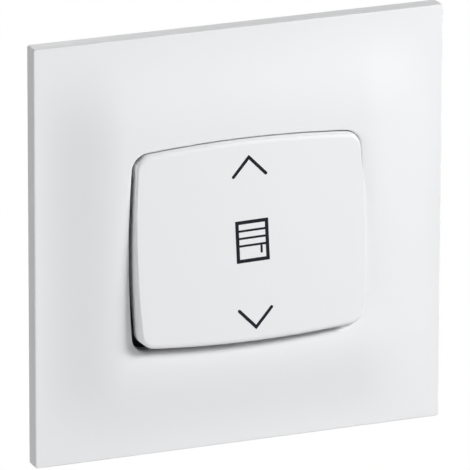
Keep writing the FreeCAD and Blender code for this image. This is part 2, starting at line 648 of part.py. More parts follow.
def conductor_strips():
    """The three brass conductors, from their contact to their tongue."""
    half = STRIP_WIDTH / 2
    end = -(TERMINAL_TOP + TERMINAL_PLAY + STRIP_THICKNESS / 2)
    common_x, up_x, down_x = TERMINALS["common"], TERMINALS["up"], TERMINALS["down"]
    shank = RIVET_SHANK_R + RIVET_SHANK_PLAY

    post_half = CONTACT_WIDTH / 2 + GUIDE_PLAY + GUIDE_THICKNESS
    common = strip_path([
        ((common_x - half, post_half), (-half, half)),
        ((common_x - half, common_x + half), (end, half)),
    ])
    post = EDGE_POST_WIDTH / 2
    edge = polygon_x([(STRIP_Y, -post), (FULCRUM_Y, 0), (STRIP_Y, post)], -post_half, post_half)
    guide = block((post_half - GUIDE_THICKNESS, post_half), (CONTACT_Y, STRIP_Y), (-post, post))
    common = common.multiFuse([edge, tongue(common_x)] + mirrored_pairs(guide, [LEFT_RIGHT]))

    reach = RIVET_REACH + half
    up = strip_path([((up_x - half, up_x + half), (end, half - RIVET_REACH))]).fuse(tongue(up_x))
    up = up.cut(rod(shank, (0, -RIVET_REACH), STRIP_Y, STRIP_BACK_Y))
    down = strip_path([
        ((-half, down_x + half), (RIVET_REACH - half, reach)),
        ((down_x - half, down_x + half), (end, reach)),
    ]).fuse(tongue(down_x))
    down = down.cut(rod(shank, (0, RIVET_REACH), STRIP_Y, STRIP_BACK_Y))
    return {"common_strip": common, "up_strip": up, "down_strip": down}


def snap_arm_depths():
    """Depths of an arm's end and of the window that its lug fills."""
    end = BASE_FRONT_Y + SNAP_ARM_LENGTH
    return end, end - SNAP_LUG_BACK - SNAP_LUG_DEPTH, end - SNAP_LUG_BACK


def mechanism_cover():
    """Front half of the mechanism: flange, well, bearings, stops, frame catches and snap arms."""
    half = MODULE_HOLE / 2 - MODULE_PLAY
    flange_half = MODULE_HOLE / 2 + FLANGE_LIP
    corner = MODULE_CORNER_R - MODULE_PLAY
    flange = extrude(
        outline(flange_half, flange_half, MODULE_CORNER_R + FLANGE_LIP, FLANGE_Y), FLANGE_THICKNESS
    )
    body = extrude(outline(half, half, corner, -FRAME_THICKNESS), BASE_FRONT_Y + FRAME_THICKNESS)
    inner = half - MODULE_WALL
    well = extrude(outline(inner, inner, WELL_CORNER_R, FLANGE_Y), COVER_FLOOR_Y - FLANGE_Y)
    tube_r = PLUNGER_R + PLUNGER_PLAY + TUBE_WALL
    hole_half = tube_r + TUBE_WINDOW_PLAY
    tube_window = extrude(outline(hole_half, hole_half, TUBE_WINDOW_PLAY, COVER_FLOOR_Y), COVER_FLOOR)
    cover = flange.fuse(body).cut(well).cut(tube_window)

    bore_r = TRUNNION_R + BEARING_PLAY
    bearing_in = CRADLE_HALF_WIDTH + TRUNNION_SIDE_PLAY
    bearing_out = bearing_in + BEARING_THICKNESS
    boss_r = bore_r + BEARING_WALL
    bearing = pin(boss_r, bearing_in, bearing_out, PIVOT_Y, 0).fuse(
        block((bearing_in, bearing_out), (PIVOT_Y, COVER_FLOOR_Y), (-boss_r, boss_r))
    )
    floor_room = block((bearing_in, bearing_out), (COVER_FLOOR_Y, BASE_FRONT_Y + boss_r), (-boss_r, boss_r))
    bearing = bearing.cut(floor_room).cut(pin(bore_r, bearing_in, bearing_out, PIVOT_Y, 0))
    mouth_half = BEARING_MOUTH / 2
    mouth = block((bearing_in, bearing_out), (PIVOT_Y - 2 * boss_r, PIVOT_Y), (-mouth_half, mouth_half))
    bearing = bearing.cut(mouth)

    # The cradle's edge comes to rest on these when the key is pressed home
    stop_y = PIVOT_Y + turned(-CRADLE_PLATE_LIFT, -CRADLE_HALF_HEIGHT, ROCKER_TILT)[0] + STOP_PLAY
    stop_z = CRADLE_HALF_HEIGHT - STOP_THICKNESS / 2
    stop = block(
        (-STOP_WIDTH / 2, STOP_WIDTH / 2),
        (stop_y, COVER_FLOOR_Y),
        (stop_z - STOP_THICKNESS / 2, stop_z + STOP_THICKNESS / 2),
    )

    catch = polygon_x(
        [(CATCH_PLAY, half), (CATCH_PLAY, half + CATCH_NOSE), (CATCH_PLAY + CATCH_DEPTH, half)],
        -CATCH_WIDTH / 2,
        CATCH_WIDTH / 2,
    )

    arm_end, window_from, window_to = snap_arm_depths()
    arm = block(
        (BASE_WIDTH / 2 + SNAP_PLAY, half),
        (COVER_FLOOR_Y, arm_end),
        (SNAP_ARM_Z - SNAP_ARM_WIDTH / 2, SNAP_ARM_Z + SNAP_ARM_WIDTH / 2),
    )
    lug_half = SNAP_LUG_WIDTH / 2 + SNAP_PLAY
    window = block(
        (BASE_WIDTH / 2, half),
        (window_from - SNAP_PLAY, window_to + SNAP_PLAY),
        (SNAP_ARM_Z - lug_half, SNAP_ARM_Z + lug_half),
    )
    arms = mirrored_pairs(arm.cut(window), [LEFT_RIGHT, UP_DOWN])
    bearings = mirrored_pairs(bearing, [LEFT_RIGHT])
    ends = mirrored_pairs(stop, [UP_DOWN]) + mirrored_pairs(catch, [UP_DOWN])
    return cover.multiFuse(arms + bearings + ends).removeSplitter()


def mechanism_base():
    """Rear half: switching chamber, deeper terminal block with its chambers, holes, slots and lugs."""
    half_x, half_z = BASE_WIDTH / 2, BASE_HEIGHT / 2
    body = extrude(chamfered(half_x, half_z, BASE_CHAMFER, BASE_FRONT_Y), BLOCK_BACK_Y - BASE_FRONT_Y)
    body = body.makeChamfer(BASE_EDGE, edges_near(body, BLOCK_BACK_Y))
    body = body.cut(block((-half_x, half_x), (BASE_BACK_Y, BLOCK_BACK_Y), (-CHAMBER_BOTTOM, half_z)))
    inner = extrude(
        chamfered(half_x - BASE_WALL, half_z - BASE_WALL, CHAMBER_CHAMFER, BASE_FRONT_Y),
        STRIP_BACK_Y - BASE_FRONT_Y,
    )
    above_partition = block((-half_x, half_x), (BASE_FRONT_Y, STRIP_BACK_Y), (-CHAMBER_BOTTOM, half_z))
    cuts = [inner.common(above_partition)]

    room = CAGE_WIDTH / 2 + TERMINAL_PLAY
    strip_half = STRIP_WIDTH / 2 + STRIP_PLAY
    chamber_back = BLOCK_BACK_Y - BLOCK_FLOOR
    for x in TERMINALS.values():
        across = (x - room, x + room)
        cuts.append(block(across, (BASE_FRONT_Y, chamber_back), (-TERMINAL_BOTTOM, -TERMINAL_TOP)))
        passage = (STRIP_Y - STRIP_PLAY, STRIP_BACK_Y)
        cuts.append(block((x - strip_half, x + strip_half), passage, (-TERMINAL_TOP, -CHAMBER_BOTTOM)))
        for wire_x in (x - WIRE_PITCH / 2, x + WIRE_PITCH / 2):
            cuts.append(wire_funnel(wire_x, chamber_back))
        half_slot = RELEASE_WIDTH / 2 + RELEASE_PLAY
        high = RELEASE_HEIGHT / 2 + RELEASE_PLAY
        cuts.append(
            block(
                (x - half_slot, x + half_slot),
                (chamber_back, BLOCK_BACK_Y),
                (-RELEASE_CENTRE - high, -RELEASE_CENTRE + high),
            )
        )
    body = body.cut(Part.makeCompound(cuts))

    arm_end, lug_from, lug_to = snap_arm_depths()
    lug_out = MODULE_HOLE / 2 - MODULE_PLAY
    corners = [(half_x, lug_from), (lug_out, lug_to), (half_x, lug_to)]
    low = SNAP_ARM_Z - SNAP_LUG_WIDTH / 2
    wire = Part.makePolygon([Vector(x, y, low) for x, y in corners + corners[:1]])
    lug = Part.Face(wire).extrude(Vector(0, 0, SNAP_LUG_WIDTH))
    return body.multiFuse(mirrored_pairs(lug, [LEFT_RIGHT, UP_DOWN])).removeSplitter()


def wire_funnel(x, chamber_back):
    """Square hole through the terminal block's floor, flared towards the back."""

    def square(half, y):
        corners = [(-half, -half), (half, -half), (half, half), (-half, half), (-half, -half)]
        return Part.makePolygon([Vector(x + dx, y, dz - WIRE_CENTRE) for dx, dz in corners])

    half = WIRE_HOLE / 2
    sections = [square(half, BLOCK_BACK_Y - 2 * WIRE_FUNNEL), square(half + WIRE_FUNNEL, BLOCK_BACK_Y)]
    flare = Part.makeLoft(sections, True, True)
    return extrude(square(half, chamber_back), BLOCK_FLOOR).fuse(flare)


def terminal_cage(x):
    """Folded steel channel round the wires, open towards the tongue."""
    half = CAGE_WIDTH / 2
    depths = (STRIP_Y - CAGE_FRONT, STRIP_BACK_Y + CAGE_BACK)
    top, bottom = -(TERMINAL_TOP + TERMINAL_PLAY), -(TERMINAL_BOTTOM - TERMINAL_PLAY)
    channel = block((x - half, x + half), depths, (bottom, top))
    room = block((x - half + CAGE_SHEET, x + half - CAGE_SHEET), depths, (bottom + CAGE_SHEET, top))
    return channel.cut(room)


def clamp_spring(x):
    """Leaf spring: a leg on the cage's wall, a bend, and an arm that slants towards the tongue."""
    cage_wall = TERMINAL_BOTTOM - TERMINAL_PLAY - CAGE_SHEET
    bend_out = CLAMP_BEND_R + CLAMP_SHEET
    centre_w, centre_y = cage_wall - bend_out, STRIP_BACK_Y + CAGE_BACK - bend_out

    def ring(radius, degrees):
        a = math.radians(degrees)
        return centre_w + radius * math.cos(a), centre_y + radius * math.sin(a)

    last = 180 - CLAMP_TILT
    slope = math.radians(CLAMP_TILT)
    step = (-CLAMP_ARM * math.sin(slope), -CLAMP_ARM * math.cos(slope))

    def at(point, shift=(0.0, 0.0)):
        return Vector(x - CLAMP_WIDTH / 2, point[1] + shift[1], -(point[0] + shift[0]))

    outer_start, inner_start = at(ring(bend_out, 0)), at(ring(CLAMP_BEND_R, 0))
    outer_end, inner_end = at(ring(bend_out, last)), at(ring(CLAMP_BEND_R, last))
    outer_tip, inner_tip = at(ring(bend_out, last), step), at(ring(CLAMP_BEND_R, last), step)
    outer_leg, inner_leg = outer_start - Vector(0, CLAMP_LEG, 0), inner_start - Vector(0, CLAMP_LEG, 0)
    edges = [
        Part.LineSegment(outer_leg, outer_start).toShape(),
        Part.Arc(outer_start, at(ring(bend_out, last / 2)), outer_end).toShape(),
        Part.LineSegment(outer_end, outer_tip).toShape(),
        Part.LineSegment(outer_tip, inner_tip).toShape(),
        Part.LineSegment(inner_tip, inner_end).toShape(),
        Part.Arc(inner_end, at(ring(CLAMP_BEND_R, last / 2)), inner_start).toShape(),
        Part.LineSegment(inner_start, inner_leg).toShape(),
        Part.LineSegment(inner_leg, outer_leg).toShape(),
    ]
    return Part.Face(Part.Wire(edges)).extrude(Vector(CLAMP_WIDTH, 0, 0))


def release_button(x):
    """Push button that bends the clamp spring open, with a shoulder and a notch for a blade."""
    chamber_back = BLOCK_BACK_Y - BLOCK_FLOOR
    half, high = RELEASE_WIDTH / 2, RELEASE_HEIGHT / 2
    tip_y = STRIP_BACK_Y + CAGE_BACK + RELEASE_PLAY
    head_y = BLOCK_BACK_Y + RELEASE_PROUD
    upright = (-RELEASE_CENTRE - high, -RELEASE_CENTRE + high)
    stem = block((x - half, x + half), (tip_y, head_y), upright)
    wide = half + RELEASE_SHOULDER
    shoulder_y = chamber_back - RELEASE_PLAY / 2
    shoulder = block((x - wide, x + wide), (shoulder_y - RELEASE_SHOULDER, shoulder_y), upright)
    notch = block(
        (x - half, x + half),
        (head_y - RELEASE_NOTCH, head_y),
        (-RELEASE_CENTRE - RELEASE_NOTCH / 2, -RELEASE_CENTRE + RELEASE_NOTCH / 2),
    )
    return stem.fuse(shoulder).cut(notch).removeSplitter()


def tilt(shape, y, degrees):
    """The shape turned about an axis along X at depth y."""
    return shape.rotate(Vector(0, y, 0), Vector(1, 0, 0), degrees)


def rocking_parts():
    """Key, cradle, spring and plunger, with the upper half of the key pressed home."""
    level = {
        "rocker_key": rocker_key(),
        "cradle": cradle(),
        "detent_spring": detent_spring(),
        "plunger": plunger(),
    }
    return {name: tilt(shape, PIVOT_Y, -ROCKER_TILT) for name, shape in level.items()}


def contact_parts():
    """Rocking contact and its rivets, tilted the other way so that the lower pair is closed."""
    back_y = CONTACT_Y + CONTACT_THICKNESS
    level = {"rocking_contact": rocking_contact()}
    for name, z in (("upper", RIVET_REACH), ("lower", -RIVET_REACH)):
        level[f"{name}_moving_rivet"] = domed_rivet(z, back_y + RIVET_HEAD_HEIGHT, back_y, CONTACT_Y, True)
    return {name: tilt(shape, FULCRUM_Y, CONTACT_TILT) for name, shape in level.items()}


def fixed_rivets():
    """Silver rivets in the up and down strips."""
    return {
        f"{name}_fixed_rivet": domed_rivet(z, FIXED_TOP_Y, STRIP_Y, STRIP_BACK_Y, False)
        for name, z in (("up", -RIVET_REACH), ("down", RIVET_REACH))
    }


def terminal_parts():
    """Cage, clamp spring and release button of each terminal."""
    parts = {}
    for name, x in TERMINALS.items():
        parts[f"{name}_cage"] = terminal_cage(x)
        parts[f"{name}_clamp"] = clamp_spring(x)
        parts[f"{name}_release"] = release_button(x)
    return parts


nodes = {
    "cover_plate": cover_plate(),
    "support_frame": support_frame(),
    "mechanism_cover": mechanism_cover(),
    "mechanism_base": mechanism_base(),
    **rocking_parts(),
    **contact_parts(),
    **conductor_strips(),
    **fixed_rivets(),
    **terminal_parts(),
}

os.makedirs("parts", exist_ok=True)
for name, shape in nodes.items():
    shape.exportStep(f"parts/{name}.step")
    print(name, "solids", len(shape.Solids), "valid", shape.isValid(), "volume", round(shape.Volume, 2))
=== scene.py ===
import math

import bmesh
import bpy
import numpy as np
from mathutils import Matrix, Vector


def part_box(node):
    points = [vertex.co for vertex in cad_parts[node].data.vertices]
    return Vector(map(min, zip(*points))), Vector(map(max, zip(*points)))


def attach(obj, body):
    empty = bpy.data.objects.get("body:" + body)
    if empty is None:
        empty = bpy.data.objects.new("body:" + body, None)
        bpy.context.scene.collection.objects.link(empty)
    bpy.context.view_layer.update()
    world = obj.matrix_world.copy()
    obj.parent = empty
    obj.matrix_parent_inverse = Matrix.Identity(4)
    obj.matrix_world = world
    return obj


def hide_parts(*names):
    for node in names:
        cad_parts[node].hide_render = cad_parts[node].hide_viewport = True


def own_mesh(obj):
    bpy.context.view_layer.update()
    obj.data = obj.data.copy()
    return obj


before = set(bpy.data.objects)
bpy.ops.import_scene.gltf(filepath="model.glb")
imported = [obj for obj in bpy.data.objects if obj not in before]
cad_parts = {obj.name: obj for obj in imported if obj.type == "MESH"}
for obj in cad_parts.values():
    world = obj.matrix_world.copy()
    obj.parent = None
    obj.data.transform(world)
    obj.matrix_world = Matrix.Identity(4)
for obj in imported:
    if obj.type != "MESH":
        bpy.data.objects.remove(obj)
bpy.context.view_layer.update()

# Mechanism base: the rear half of the switch, moulded in light grey thermoplastic with
# the switching chamber in front and the terminal block, with its wire holes, behind.
# Its eroded tool surface gives it a dull, faintly pebbled skin.

MM = 0.001
MIX_FACTOR, MIX_LOW, MIX_HIGH, MIX_RESULT = 0, 6, 7, 2
DRIFT_SIZE, DRIFT_DARK, DRIFT_LIGHT = 12 * MM, 0.94, 1.04
DRIFT_SWING, GRAIN_SWING = 0.10, 0.04


class Value:
    """A shader socket that takes arithmetic: every operator adds one Math node."""

    def __init__(self, finish, socket):
        self.finish, self.socket = finish, socket

    def __add__(self, other):
        return self.finish.node("ShaderNodeMath", {"operation": "ADD"}, (self, other))

    def __mul__(self, other):
        return self.finish.node("ShaderNodeMath", {"operation": "MULTIPLY"}, (self, other))

    __radd__, __rmul__ = __add__, __mul__


class Finish:
    """One surface finish: a Principled shader, and nodes on object coordinates that vary it."""

    def __init__(self, name, colour, roughness, **sockets):
        self.material = bpy.data.materials.new(name)
        self.material.use_nodes = True
        self.tree = self.material.node_tree
        self.shader = self.tree.nodes["Principled BSDF"]
        self.set(Base_Color=(*colour, 1), Roughness=roughness, **sockets)
        self.place = self.node("ShaderNodeTexCoord", output="Object")

    def node(self, kind, settings=None, inputs=(), output=0):
        """Adds a node: its settings first, then a value or a link for each socket named."""
        made = self.tree.nodes.new(kind)
        for key, value in (settings or {}).items():
            setattr(made, key, value)
        pairs = inputs.items() if isinstance(inputs, dict) else enumerate(inputs)
        for key, value in pairs:
            self.put(made.inputs[key], value)
        return Value(self, made.outputs[output])

    def put(self, socket, value):
        """Links a Value to a socket, or writes anything else into it as a constant."""
        if isinstance(value, Value):
            self.tree.links.new(value.socket, socket)
        else:
            socket.default_value = value

    def set(self, **sockets):
        """Fills the shader's own sockets; an underscore in a name stands for a space."""
        for name, value in sockets.items():
            self.put(self.shader.inputs[name.replace("_", " ")], value)

    def noise(self, size, detail=2.0, stretch=(1, 1, 1)):
        """Cloudy pattern from 0 to 1 whose blots are about size metres across."""
        scaled = self.node("ShaderNodeMapping", None, {"Vector": self.place, "Scale": stretch})
        inputs = {"Vector": scaled, "Scale": 1 / size, "Detail": detail}
        return self.node("ShaderNodeTexNoise", None, inputs)

    def tint(self, amount, low, high):
        """Base colour that drifts between two colours as amount goes from 0 to 1."""
        inputs = {MIX_FACTOR: amount, MIX_LOW: (*low, 1), MIX_HIGH: (*high, 1)}
        self.set(Base_Color=self.node("ShaderNodeMix", {"data_type": "RGBA"}, inputs, MIX_RESULT))

    def gloss(self, roughness, *patterns):
        """Roughness about a mean: every pattern, from 0 to 1, comes with its whole swing."""
        total = roughness - sum(swing for _, swing in patterns) / 2
        for amount, swing in patterns:
            total = amount * swing + total
        self.set(Roughness=total)

    def relief(self, height, depth):
        """Bump of the given depth in metres from a height between 0 and 1."""
        inputs = {"Strength": 1.0, "Distance": depth, "Height": height}
        self.set(Normal=self.node("ShaderNodeBump", None, inputs))


def shade(colour, factor):
    """A colour with each of its parts multiplied by a factor."""
    return tuple(c * factor for c in colour)


def dress(finish, *names):
    """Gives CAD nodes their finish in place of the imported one."""
    for name in names:
        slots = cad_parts[name].data.materials
        slots.clear()
        slots.append(finish.material)


def moulded(name, colour, roughness, grain, depth):
    """Unpolished moulding: a pebbled skin and a slow drift of tone and gloss."""
    finish = Finish(name, colour, roughness)
    pebble = finish.noise(grain, detail=3.0)
    drift = finish.noise(DRIFT_SIZE)
    finish.tint(drift, shade(colour, DRIFT_DARK), shade(colour, DRIFT_LIGHT))
    finish.gloss(roughness, (drift, DRIFT_SWING), (pebble, GRAIN_SWING))
    finish.relief(pebble, depth)
    return finish


pale_plastic = moulded(
    "pale_moulded_plastic", (0.55, 0.55, 0.53), roughness=0.50, grain=0.3 * MM, depth=0.03 * MM
)
dress(pale_plastic, "mechanism_base")

# Conductor strips, rivets, cages and clamps: stamped brass strips, turned silver rivets
# headed into them, folded zinc-plated cages and bent leaf springs. Rolled sheet keeps
# fine lines along its length, and plating leaves a slightly cloudy gloss.

LINE_SIZE, LINE_SWING, LINE_DEPTH = 0.4 * MM, 0.16, 0.006 * MM
CLOUD_SIZE, CLOUD_SWING, CLOUD_DARK, CLOUD_LIGHT = 3 * MM, 0.12, 0.85, 1.08


def rolled(name, colour, roughness, stretch):
    """Rolled or drawn metal: long fine lines in the gloss and the relief."""
    finish = Finish(name, colour, roughness, Metallic=1.0)
    lines = finish.noise(LINE_SIZE, detail=3.0, stretch=stretch)
    cloud = finish.noise(CLOUD_SIZE, detail=3.0)
    finish.tint(cloud, shade(colour, CLOUD_DARK), shade(colour, CLOUD_LIGHT))
    finish.gloss(roughness, (lines, LINE_SWING), (cloud, CLOUD_SWING))
    finish.relief(lines, LINE_DEPTH)
    return finish


brass = rolled("rolled_brass", (0.78, 0.58, 0.28), roughness=0.32, stretch=(1, 1, 0.06))
silver = rolled("turned_silver", (0.84, 0.83, 0.80), roughness=0.24, stretch=(1, 1, 1))
zinc = rolled("zinc_plated_sheet", (0.60, 0.61, 0.63), roughness=0.36, stretch=(0.08, 1, 1))
spring_steel = rolled("spring_steel", (0.50, 0.51, 0.53), roughness=0.28, stretch=(1, 0.08, 1))
dress(brass, "common_strip", "up_strip", "down_strip", "rocking_contact")
dress(silver, "up_fixed_rivet", "down_fixed_rivet", "upper_moving_rivet", "lower_moving_rivet")
dress(zinc, "common_cage", "up_cage", "down_cage")
dress(spring_steel, "common_clamp", "up_clamp", "down_clamp", "detent_spring")

# Release buttons: orange moulded keys that open the clamps, one for each terminal.
# A screwdriver's blade fits the notch across their heads.

release_orange = moulded(
    "release_orange", (0.72, 0.22, 0.03), roughness=0.42, grain=0.25 * MM, depth=0.02 * MM
)
dress(release_orange, "common_release", "up_release", "down_release")

# Plunger and cradle: the plunger is turned from natural acetal, waxy and slightly
# translucent, and the see-saw that carries it is moulded in the pale plastic. The detent
# spring between them gets a mesh of its own.

acetal = moulded(
    "natural_acetal", (0.78, 0.77, 0.72), roughness=0.34, grain=0.5 * MM, depth=0.01 * MM
)
acetal.set(Subsurface_Weight=0.15, Subsurface_Radius=(0.4 * MM, 0.4 * MM, 0.3 * MM))
dress(acetal, "plunger")
dress(pale_plastic, "cradle")
TILT, PLUNGER_TRAVEL = math.radians(-4.3), 0.6 * MM
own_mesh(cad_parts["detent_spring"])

# Mechanism cover: the front half of the switch, moulded plastic with the bearings for the
# cradle and the snap arms that grip the base. Its near-black colour is painted shade for
# the deep gap that shows round the rocker; the real cover is a lighter plastic.

# Near-black colour: painted shade for the gap round the rocker, not the cover's own tone.
gap_shade_finish = moulded(
    "painted_gap_shade_plastic", (0.045, 0.047, 0.052), roughness=0.55, grain=0.3 * MM, depth=0.03 * MM
)
dress(gap_shade_finish, "mechanism_cover")

# Support frame: a flat plate of glass-filled plastic that the box screws pass through.
# Short glass fibres show as fine flecks in the grey.

FRAME_GREY = (0.36, 0.37, 0.38)
FLECK_SIZE, FLECK_STRETCH, FLECK_FROM, FLECK_TO = 0.2 * MM, (1, 0.12, 0.5), 0.62, 0.72
FLECK_LIGHT = 1.35
glass_filled = moulded(
    "glass_filled_grey", FRAME_GREY, roughness=0.62, grain=0.4 * MM, depth=0.05 * MM
)
fleck = glass_filled.noise(FLECK_SIZE, detail=0.0, stretch=FLECK_STRETCH)
sharp_fleck = glass_filled.node(
    "ShaderNodeMapRange",
    {"clamp": True},
    {"Value": fleck, "From Min": FLECK_FROM, "From Max": FLECK_TO},
)
glass_filled.tint(sharp_fleck, FRAME_GREY, shade(FRAME_GREY, FLECK_LIGHT))
dress(glass_filled, "support_frame")

# Cover plate: one hollow white moulding in glossy UV-stable plastic. Its front swells
# from a flat edge to the rim of a bowed opening, and it ends below in a collar and four
# hooks that snap behind the support frame.

plate_low, plate_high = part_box("cover_plate")
PLATE_HALF, RIM_Y, RISE = plate_high.x, plate_low.y, 3.5 * MM
EDGE_Y = RIM_Y + RISE
EDGE_LAND, RIM_LAND = 0.5 * MM, 0.2 * MM
EDGE_ROUND, RIM_ROUND = 0.3 * MM, 0.4 * MM
CORNER_R, LEAST_CORNER_R = 0.45 * MM, 0.135 * MM
SIDE_WALL, ROOF = 1.8 * MM, 1.8 * MM
COLLAR_WALL, COLLAR_END = 1.5 * MM, -2.9 * MM
COLLAR_RINGS, FRONT_RINGS, BACK_RINGS = 4, 46, 20
CREASE = math.radians(35.0)
OPENING = {
    "half_x": 23.5 * MM,
    "half_z": 20.4 * MM,
    "corner_r": 3.35 * MM,
    "bow_x": 0.81 * MM,
    "bow_z": 1.1 * MM,
}


def loop(half_x, half_z, corner_r, bow_x=0.0, bow_z=0.0, inset=0.0, side=56, corner=14):
    """Closed outline as (x, z) rows, counter-clockwise from the middle of the right side.

    One quarter is half a side, a corner arc and half an end, and the rest is its mirror
    image. A bowed side is an arc centred on the X axis and a bowed end one centred on the
    Z axis; the corner arc touches both from inside.
    """
    half_x, half_z, corner_r = half_x - inset, half_z - inset, corner_r - inset
    if bow_x:
        reach_x, reach_z = half_x - bow_x, half_z - bow_z
        side_r = (bow_x**2 + reach_z**2) / (2 * bow_x)
        end_r = (bow_z**2 + reach_x**2) / (2 * bow_z)
        side_c, end_c = half_x - side_r, half_z - end_r
        to_side, to_end = side_r - corner_r, end_r - corner_r
        apart = math.hypot(side_c, end_c)
        along = (to_side**2 - to_end**2 + apart**2) / (2 * apart)
        across = math.sqrt(to_side**2 - along**2)
        unit_x, unit_z = -side_c / apart, end_c / apart
        centre = (side_c + along * unit_x - across * unit_z, along * unit_z + across * unit_x)
        first = math.atan2(centre[1], centre[0] - side_c)
        last = math.atan2(centre[1] - end_c, centre[0])
        t = np.linspace(0, first, side, endpoint=False)
        right = np.stack([side_c + side_r * np.cos(t), side_r * np.sin(t)], 1)
        t = np.linspace(last, math.pi / 2, side + 1)[1:]
        top = np.stack([end_r * np.cos(t), end_c + end_r * np.sin(t)], 1)
    else:
        centre = (half_x - corner_r, half_z - corner_r)
        first, last = 0.0, math.pi / 2
        t = np.linspace(0, centre[1], side, endpoint=False)
        right = np.stack([np.full(side, half_x), t], 1)
        t = np.linspace(centre[0], 0, side + 1)[1:]
        top = np.stack([t, np.full(side, half_z)], 1)
    t = np.linspace(first, last, corner + 1)
    arc = np.array(centre) + corner_r * np.stack([np.cos(t), np.sin(t)], 1)
    quarter = np.concatenate([right, arc, top])
    upper = np.concatenate([quarter, (quarter * (-1, 1))[-2::-1]])
    return np.concatenate([upper[:-1], -upper[:-1]])


def at_depth(outline, y):
    """(x, z) rows as (x, y, z) points; y is one depth or one for each row."""
    return np.stack([outline[:, 0], np.broadcast_to(y, len(outline)), outline[:, 1]], 1)


def quarter_round(radius, steps=7):
    """Insets and depths along a rounded edge, a quarter circle from its front to its side."""
    a = np.linspace(0, math.pi / 2, steps + 1)
    return zip(radius * (1 - np.sin(a)), radius * (1 - np.cos(a)))


def skin(rings, closed):
    """Vertices and faces of a tube through rings of equal count.

    A closed tube joins its last ring to its first; an open one gets a flat face at each end.
    """
    count, n = len(rings), len(rings[0])
    last = count if closed else count - 1
    i, j = np.meshgrid(np.arange(last), np.arange(n), indexing="ij")
    near, far = i * n, (i + 1) % count * n
    right = (j + 1) % n
    faces = np.stack([near + j, far + j, far + right, near + right], -1).reshape(-1, 4).tolist()
    if not closed:
        faces += [list(range(n)), list(range(count * n - 1, (count - 1) * n - 1, -1))]
    return np.concatenate(rings), faces


def prism(points, x_from, x_to):
    """Vertices and faces of a bar along X whose section is the (y, z) points."""
    rings = [np.array([(x, y, z) for y, z in points]) for x in (x_from, x_to)]
    return skin(rings, False)


def solid(name, parts, finish, body):
    """Makes one object of closed parts, its faces outwards and smooth up to the crease angle."""
    offsets = np.cumsum([0] + [len(v) for v, _ in parts])
    faces = [[int(i + o) for i in f] for (_, fs), o in zip(parts, offsets) for f in fs]
    mesh = bpy.data.meshes.new(name)
    mesh.from_pydata(np.concatenate([v for v, _ in parts]).tolist(), [], faces)
    made = bpy.data.objects.new(name, mesh)
    bpy.context.scene.collection.objects.link(made)
    bm = bmesh.new()
    bm.from_mesh(mesh)
    bmesh.ops.recalc_face_normals(bm, faces=bm.faces)
    bm.to_mesh(mesh)
    bm.free()
    mesh.shade_smooth()
    mesh.set_sharp_from_angle(angle=CREASE)
    mesh.materials.append(finish.material)
    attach(made, body)
    return made


def swell(outline):
    """Depth of the front at (x, z): the full rise times its eased share across and along."""
    shares = []
    for column, half in ((0, OPENING["half_x"]), (1, OPENING["half_z"])):
        foot, top = PLATE_HALF - EDGE_LAND, half + RIM_ROUND + RIM_LAND
        t = np.clip((foot - np.abs(outline[:, column])) / (foot - top), 0, 1)
        shares.append(t * t * (3 - 2 * t))
    return EDGE_Y - RISE * shares[0] * shares[1]


def plate_loop(inset):
    """The plate's square outline moved inwards, its corner radius less the inset."""
    half = PLATE_HALF - inset
    return loop(half, half, max(CORNER_R - inset, LEAST_CORNER_R))


def between(inner, outer, steps, drop=0.0):
    """Rings from one outline to another that follow the front's swell, drop behind it."""
    outlines = [inner + (outer - inner) * s for s in np.linspace(0, 1, steps)]
    return [at_depth(o, swell(o) + drop) for o in outlines]


# The rings run from the collar's inside over the front and the side wall to the back. One
# stands a radius past each rounding, so that the flat beyond it stays flat when smooth.
rim = [at_depth(loop(**OPENING, inset=-i), RIM_Y + d) for i, d in quarter_round(RIM_ROUND)][::-1]
edge = [at_depth(plate_loop(i), EDGE_Y + d) for i, d in quarter_round(EDGE_ROUND)]
collar_in, collar_out = loop(**OPENING), loop(**OPENING, inset=-COLLAR_WALL)
wall_out, wall_in = plate_loop(0), plate_loop(SIDE_WALL)
collar_depths = np.linspace(COLLAR_END, RIM_Y + 2 * RIM_ROUND, COLLAR_RINGS)
rings = [at_depth(collar_in, y) for y in collar_depths]
rings += rim
rings += between(loop(**OPENING, inset=-RIM_ROUND), plate_loop(EDGE_ROUND), FRONT_RINGS)[1:-1]
rings += edge
rings += [at_depth(wall_out, y) for y in (EDGE_Y + 2 * EDGE_ROUND, -EDGE_ROUND, 0.0)]
rings += [at_depth(wall_in, 0.0)]
rings += between(collar_out, wall_in, BACK_RINGS, ROOF)[::-1]
rings += [at_depth(collar_out, COLLAR_END)]
shell = skin(rings, True)

HOOK_X, HOOK_Z, HOOK_WIDTH, HOOK_LEG, HOOK_NOSE = 16 * MM, 30 * MM, 5 * MM, 1.3 * MM, 0.6 * MM
HOOK_PLAY, LEDGE_Y = 0.15 * MM, -0.85 * MM
root_y = float(swell(np.array([[0, HOOK_Z]]))[0]) + ROOF / 2
inner_z, outer_z = HOOK_Z - HOOK_LEG / 2, HOOK_Z + HOOK_LEG / 2
hook = [
    (root_y, inner_z),
    (-HOOK_PLAY, inner_z),
    (-HOOK_PLAY, outer_z),
    (LEDGE_Y + HOOK_PLAY, outer_z + HOOK_NOSE),
    (LEDGE_Y, outer_z + HOOK_NOSE),
    (LEDGE_Y, outer_z),
    (root_y, outer_z),
]
hooks = [
    prism([(y, z * up) for y, z in hook], x - HOOK_WIDTH / 2, x + HOOK_WIDTH / 2)
    for x in (-HOOK_X, HOOK_X) for up in (-1, 1)
]

